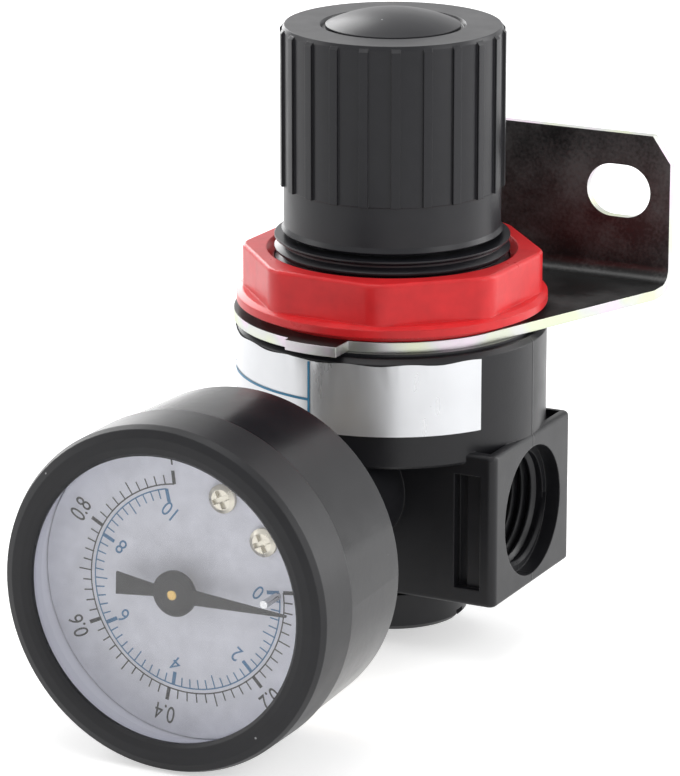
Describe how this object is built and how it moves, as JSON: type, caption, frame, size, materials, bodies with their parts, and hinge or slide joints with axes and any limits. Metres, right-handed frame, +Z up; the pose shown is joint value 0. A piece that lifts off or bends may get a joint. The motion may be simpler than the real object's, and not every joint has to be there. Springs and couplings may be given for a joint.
{
  "type": "compressed-air pressure regulator",
  "caption": "Compressed-air pressure regulator with push-lock knob, red panel nut, angle bracket and a dial gauge on the front.",
  "frame": {"origin": "middle of the bracket's two slots, on the face that goes against the wall", "axes": "+X along the flow to the outlet port, +Y into the wall, +Z up along the knob axis"},
  "size_m": [0.0544, 0.0894, 0.0809],
  "materials": {
    "black_casting": "satin black paint on a die casting",
    "black_plastic": "moulded black plastic, satin",
    "red_plastic": "moulded red plastic, glossy",
    "zinc_plate": "bright zinc-plated steel sheet",
    "foil": "silver foil label",
    "brass": "turned brass",
    "steel": "plain steel",
    "spring_steel": "spring wire",
    "rubber": "black nitrile rubber",
    "black_case": "gloss black paint on pressed steel",
    "lens": "clear lens",
    "dial_white": "white painted dial",
    "screw_ivory": "bright plated screw",
    "pointer_grey": "dark grey painted pointer"
  },
  "bodies": {
    "housing": {"body": "black_casting", "bonnet": "black_plastic", "panel_nut": "red_plastic", "mounting_bracket": "zinc_plate", "label": "foil", "thrust_washer": "brass", "range_spring": "spring_steel", "diaphragm": "rubber", "valve_spring": "spring_steel", "bottom_plug": "black_plastic", "plug_o_ring": "rubber", "rear_port_plug": "steel", "gauge_socket": "brass", "gauge_case": "black_case", "gauge_bezel": "black_case", "gauge_lens": "lens", "lens_gasket": "rubber", "gauge_dial": "dial_white", "dial_screws": "screw_ivory", "stop_pin": "steel", "movement_frame": "brass", "bourdon_tube": "brass"},
    "screw": {"adjusting_screw": "steel"},
    "knob_body": {"knob": "black_plastic"},
    "spring_seat": {"spring_seat_nut": "steel"},
    "diaphragm_stack": {"diaphragm_upper_plate": "steel", "diaphragm_lower_plate": "steel", "relief_seat": "brass"},
    "valve": {"valve_stem": "brass", "poppet_seal": "rubber"},
    "pointer_body": {"pointer": "pointer_grey", "pointer_spindle": "brass"},
    "sector": {"sector_gear": "brass"},
    "link": {"movement_link": "brass"}
  },
  "joints": [
    {"name": "knob_turn", "type": "hinge", "parent": "housing", "child": "screw", "pos_m": [0, -0.0273, 0.0139], "axis": [0, 0, 1], "range_deg": [-1800, 0]},
    {"name": "knob_lock", "type": "slide", "parent": "screw", "child": "knob_body", "axis": [0, 0, 1], "range_m": [0, 0.0025]},
    {"name": "spring_seat_travel", "type": "slide", "parent": "housing", "child": "spring_seat", "axis": [0, 0, 1], "range_m": [-0.00627, 0], "deforming": ["range_spring"]},
    {"name": "diaphragm_travel", "type": "slide", "parent": "housing", "child": "diaphragm_stack", "axis": [0, 0, 1], "range_m": [-0.0012, 0], "stiffness_N_per_m": 400, "deforming": ["diaphragm"]},
    {"name": "valve_travel", "type": "slide", "parent": "housing", "child": "valve", "axis": [0, 0, 1], "range_m": [-0.00121, 0], "deforming": ["valve_spring"]},
    {"name": "pointer_turn", "type": "hinge", "parent": "housing", "child": "pointer_body", "pos_m": [0, -0.0853, -0.0325], "axis": [0, 1, 0], "range_deg": [0, 270], "stiffness_Nm_per_rad": 0.0001},
    {"name": "sector_turn", "type": "hinge", "parent": "housing", "child": "sector", "pos_m": [-0.00435, -0.0775, -0.04003], "axis": [0, 1, 0], "range_deg": [-43.3, 0]},
    {"name": "link_turn", "type": "hinge", "parent": "sector", "child": "link", "pos_m": [-0.00686, -0.0766, -0.04202], "axis": [0, 1, 0], "range_deg": [0, 43.3]}
  ],
  "couplings": [
    {"joint": "spring_seat_travel", "follows": "knob_turn", "m_per_rad": 0.00019894},
    {"joint": "valve_travel", "follows": "diaphragm_travel", "ratio": 1},
    {"joint": "sector_turn", "follows": "pointer_turn", "ratio": -0.16},
    {"joint": "link_turn", "follows": "pointer_turn", "ratio": 0.16}
  ]
}
